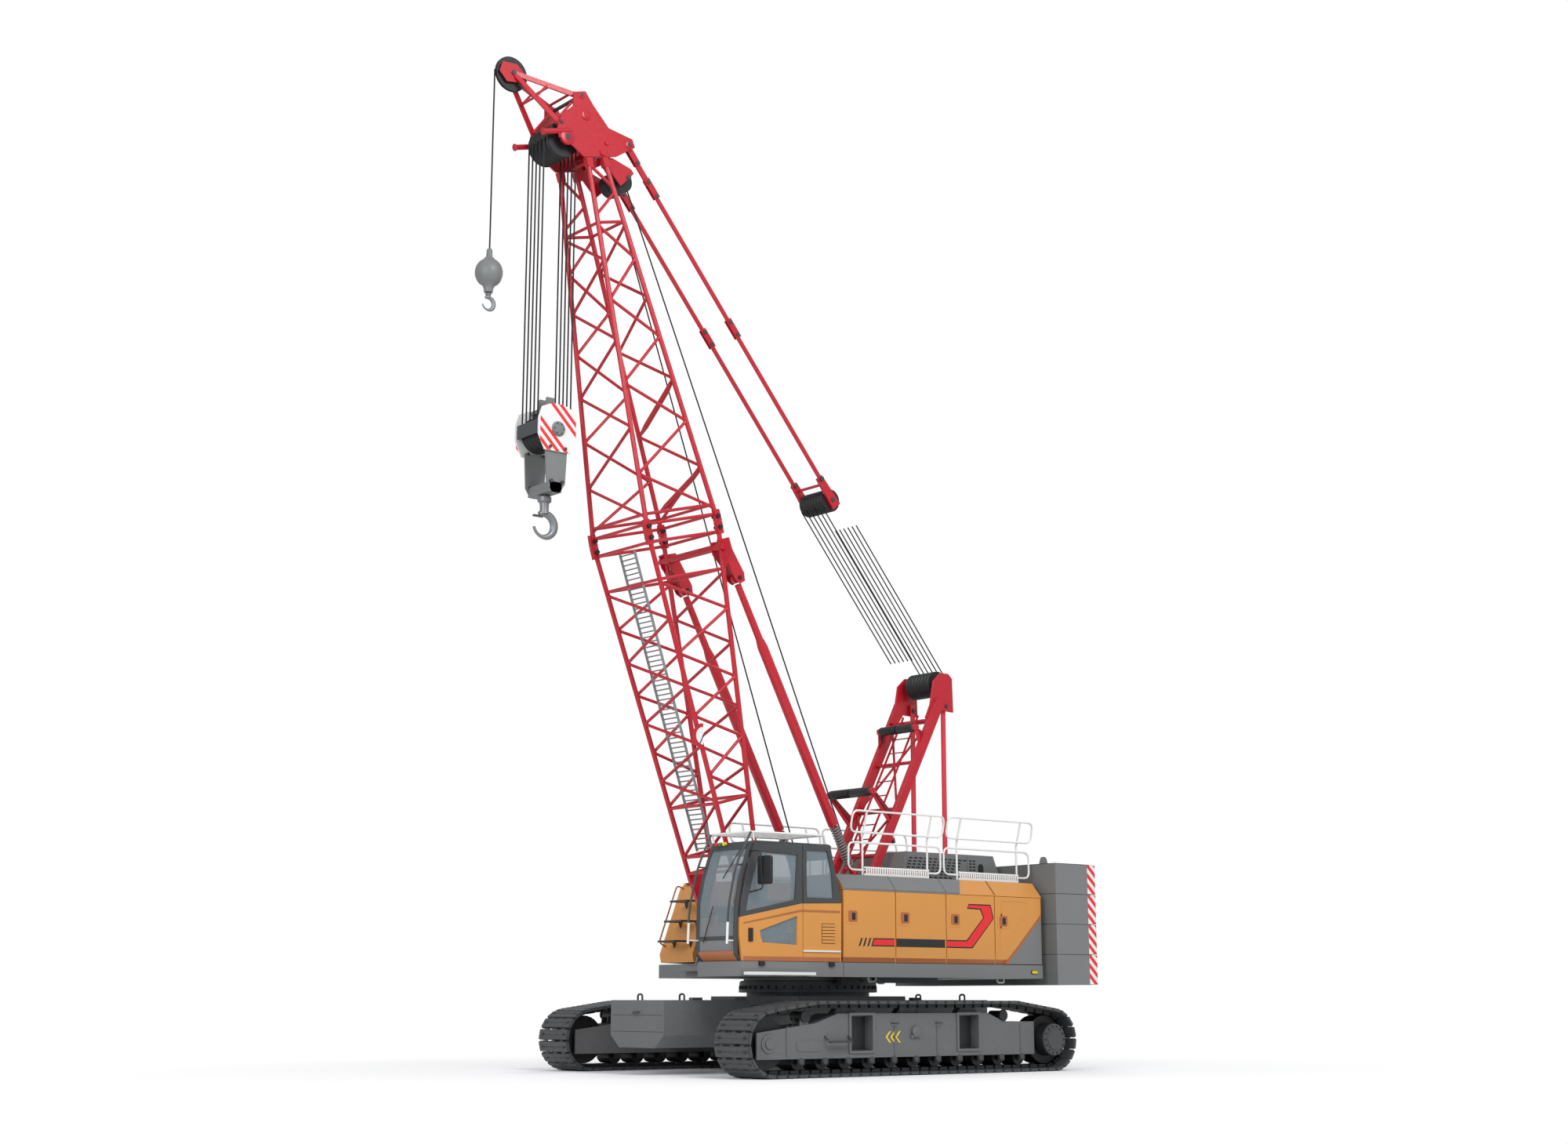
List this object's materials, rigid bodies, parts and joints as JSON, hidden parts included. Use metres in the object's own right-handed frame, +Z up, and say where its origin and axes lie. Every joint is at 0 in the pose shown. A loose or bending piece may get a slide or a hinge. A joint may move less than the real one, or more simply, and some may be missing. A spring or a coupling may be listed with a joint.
{
  "type": "crawler crane",
  "caption": "Crawler crane with a short lattice boom, auxiliary jib, rear gantry, operator cab, counterweights and two hooks.",
  "frame": {"origin": "slewing axis at ground level, between the tracks", "axes": "+X forwards, +Y to the left (cab side), +Z up"},
  "size_m": [11.3622, 5.53, 15.9472],
  "materials": {
    "red_paint": "gloss",
    "ochre_paint": "gloss",
    "grey_paint": "satin",
    "dark_paint": "satin",
    "dark_steel": "matte",
    "hook_steel": "satin",
    "wire_rope": "matte",
    "glass": "clear",
    "seat_cloth": "matte"
  },
  "bodies": {
    "undercarriage": {"carbody": "grey_paint", "slew_ring": "dark_paint", "carbody_weights": "grey_paint", "side_frame_left": "grey_paint", "side_frame_right": "grey_paint", "running_gear_left": "dark_steel", "running_gear_right": "dark_steel", "track_left": "dark_steel", "track_right": "dark_steel"},
    "upper": {"turntable": "grey_paint", "house_left": "ochre_paint", "house_right": "ochre_paint", "engine_hood": "grey_paint", "engine": "dark_steel", "step_box": "ochre_paint", "cab_shell": "dark_paint", "cab_door": "ochre_paint", "cab_glass": "glass", "operator_seat": "seat_cloth", "counterweight": "grey_paint", "gantry": "red_paint", "gantry_links": "red_paint"},
    "door_left_4": {"house_door_left_4": "ochre_paint"},
    "door_left_3": {"house_door_left_3": "ochre_paint"},
    "door_left_2": {"house_door_left_2": "ochre_paint"},
    "door_left_1": {"house_door_left_1": "ochre_paint"},
    "door_right_2": {"house_door_right_2": "ochre_paint"},
    "door_right_1": {"house_door_right_1": "ochre_paint"},
    "luffing_drum_rotor": {"luffing_drum": "dark_paint"},
    "main_drum_rotor": {"main_drum": "dark_paint"},
    "aux_drum_rotor": {"aux_drum": "dark_paint"},
    "gantry_sheave_set": {"gantry_sheaves": "dark_paint"},
    "boom": {"boom_base": "red_paint", "boom_top": "red_paint", "boom_head": "red_paint", "aux_jib": "red_paint"},
    "falls_lower": {"luffing_falls_lower": "wire_rope"},
    "head_sheave_set": {"head_sheaves": "dark_paint"},
    "guide_sheave_set": {"guide_sheaves": "dark_paint"},
    "jib_sheave_set": {"jib_sheave": "dark_paint"},
    "pendant_set": {"pendants": "red_paint", "bridle": "red_paint", "luffing_falls_upper": "wire_rope"},
    "bridle_sheave_set": {"bridle_sheaves": "dark_paint"},
    "main_fall_set": {"main_falls": "wire_rope", "hook_block": "grey_paint"},
    "block_sheave_set": {"block_sheaves": "dark_paint"},
    "main_hook_swivel": {"main_hook": "hook_steel"},
    "aux_fall_set": {"aux_line": "wire_rope", "aux_weight": "grey_paint"},
    "aux_hook_swivel": {"aux_hook": "hook_steel"},
    "backstop_rod_set": {"backstop_rods": "red_paint"},
    "backstop_tube_set": {"backstop_tubes": "red_paint"}
  },
  "joints": [
    {"name": "slew", "type": "hinge", "parent": "undercarriage", "child": "upper", "pos_m": [0, 0, 1.44], "axis": [0, 0, 1], "continuous": true},
    {"name": "door_left_4_hinge", "type": "hinge", "parent": "upper", "child": "door_left_4", "pos_m": [-3.6725, 1.796, 1.713], "axis": [0, 0, 1], "range_deg": [0, 100]},
    {"name": "door_left_3_hinge", "type": "hinge", "parent": "upper", "child": "door_left_3", "pos_m": [-2.553, 1.796, 1.713], "axis": [0, 0, 1], "range_deg": [0, 100]},
    {"name": "door_left_2_hinge", "type": "hinge", "parent": "upper", "child": "door_left_2", "pos_m": [-1.4335, 1.796, 1.713], "axis": [0, 0, 1], "range_deg": [0, 100]},
    {"name": "door_left_1_hinge", "type": "hinge", "parent": "upper", "child": "door_left_1", "pos_m": [-0.314, 1.796, 1.713], "axis": [0, 0, 1], "range_deg": [0, 100]},
    {"name": "door_right_2_hinge", "type": "hinge", "parent": "upper", "child": "door_right_2", "pos_m": [-2.553, -1.796, 1.713], "axis": [0, 0, -1], "range_deg": [0, 100]},
    {"name": "door_right_1_hinge", "type": "hinge", "parent": "upper", "child": "door_right_1", "pos_m": [-1.4335, -1.796, 1.713], "axis": [0, 0, -1], "range_deg": [0, 100]},
    {"name": "luffing_drum_spin", "type": "hinge", "parent": "upper", "child": "luffing_drum_rotor", "pos_m": [0.75, 0, 2.12], "axis": [0, 1, 0], "continuous": true},
    {"name": "main_drum_spin", "type": "hinge", "parent": "upper", "child": "main_drum_rotor", "pos_m": [0.05, 0, 2.15], "axis": [0, 1, 0], "continuous": true},
    {"name": "aux_drum_spin", "type": "hinge", "parent": "upper", "child": "aux_drum_rotor", "pos_m": [-1.25, 0, 2.15], "axis": [0, 1, 0], "continuous": true},
    {"name": "gantry_sheave_spin", "type": "hinge", "parent": "upper", "child": "gantry_sheave_set", "pos_m": [-2.77, 0, 6.61], "axis": [0, 1, 0], "continuous": true},
    {"name": "boom_luff", "type": "hinge", "parent": "upper", "child": "boom", "pos_m": [1.515, 0, 2.14], "axis": [0, -1, 0], "range_deg": [-45.15, 4.85]},
    {"name": "luffing_falls_swing", "type": "hinge", "parent": "upper", "child": "falls_lower", "pos_m": [-2.77, 0, 6.61], "axis": [0, -1, 0], "range_deg": [-41, 4.41]},
    {"name": "head_sheave_spin", "type": "hinge", "parent": "boom", "child": "head_sheave_set", "pos_m": [5.35569, 0, 14.67432], "axis": [0, 1, 0], "continuous": true},
    {"name": "guide_sheave_spin", "type": "hinge", "parent": "boom", "child": "guide_sheave_set", "pos_m": [4.11361, 0, 14.32084], "axis": [0, 1, 0], "continuous": true},
    {"name": "jib_sheave_spin", "type": "hinge", "parent": "boom", "child": "jib_sheave_set", "pos_m": [6.17495, 0, 15.65718], "axis": [0, 1, 0], "continuous": true},
    {"name": "pendant_swing", "type": "hinge", "parent": "boom", "child": "pendant_set", "pos_m": [4.15279, 0, 14.85877], "axis": [0, -1, 0], "range_deg": [-0.46, 4.17]},
    {"name": "bridle_sheave_spin", "type": "hinge", "parent": "pendant_set", "child": "bridle_sheave_set", "pos_m": [-0.28292, 0, 9.57346], "axis": [0, 1, 0], "continuous": true},
    {"name": "main_fall_swing", "type": "hinge", "parent": "boom", "child": "main_fall_set", "pos_m": [5.35569, 0, 14.67432], "axis": [0, -1, 0], "range_deg": [-4.86, 45.16]},
    {"name": "block_sheave_spin", "type": "hinge", "parent": "main_fall_set", "child": "block_sheave_set", "pos_m": [5.35569, 0, 9.85432], "axis": [0, 1, 0], "continuous": true},
    {"name": "main_hook_turn", "type": "hinge", "parent": "main_fall_set", "child": "main_hook_swivel", "pos_m": [5.35569, 0, 8.77432], "axis": [0, 0, 1], "continuous": true},
    {"name": "aux_fall_swing", "type": "hinge", "parent": "boom", "child": "aux_fall_set", "pos_m": [6.17495, 0, 15.65718], "axis": [0, -1, 0], "range_deg": [-4.86, 45.16]},
    {"name": "aux_hook_turn", "type": "hinge", "parent": "aux_fall_set", "child": "aux_hook_swivel", "pos_m": [6.47825, 0, 11.85718], "axis": [0, 0, 1], "continuous": true},
    {"name": "backstop_swing", "type": "hinge", "parent": "upper", "child": "backstop_rod_set", "pos_m": [-0.96, 0, 2.1], "axis": [0, -1, 0], "range_deg": [-34.7, 3.74]},
    {"name": "backstop_slide", "type": "slide", "parent": "backstop_rod_set", "child": "backstop_tube_set", "axis": [0.472, 0, 0.8816], "range_m": [-0.1542, 1.4269]}
  ],
  "couplings": [
    {"joint": "luffing_falls_swing", "follows": "boom_luff", "ratio": 0.90792},
    {"joint": "pendant_swing", "follows": "boom_luff", "ratio": -0.092076},
    {"joint": "main_fall_swing", "follows": "boom_luff", "ratio": -1},
    {"joint": "aux_fall_swing", "follows": "boom_luff", "ratio": -1},
    {"joint": "backstop_swing", "follows": "boom_luff", "ratio": 0.76845},
    {"joint": "backstop_slide", "follows": "boom_luff", "m_per_rad": -1.8095}
  ]
}
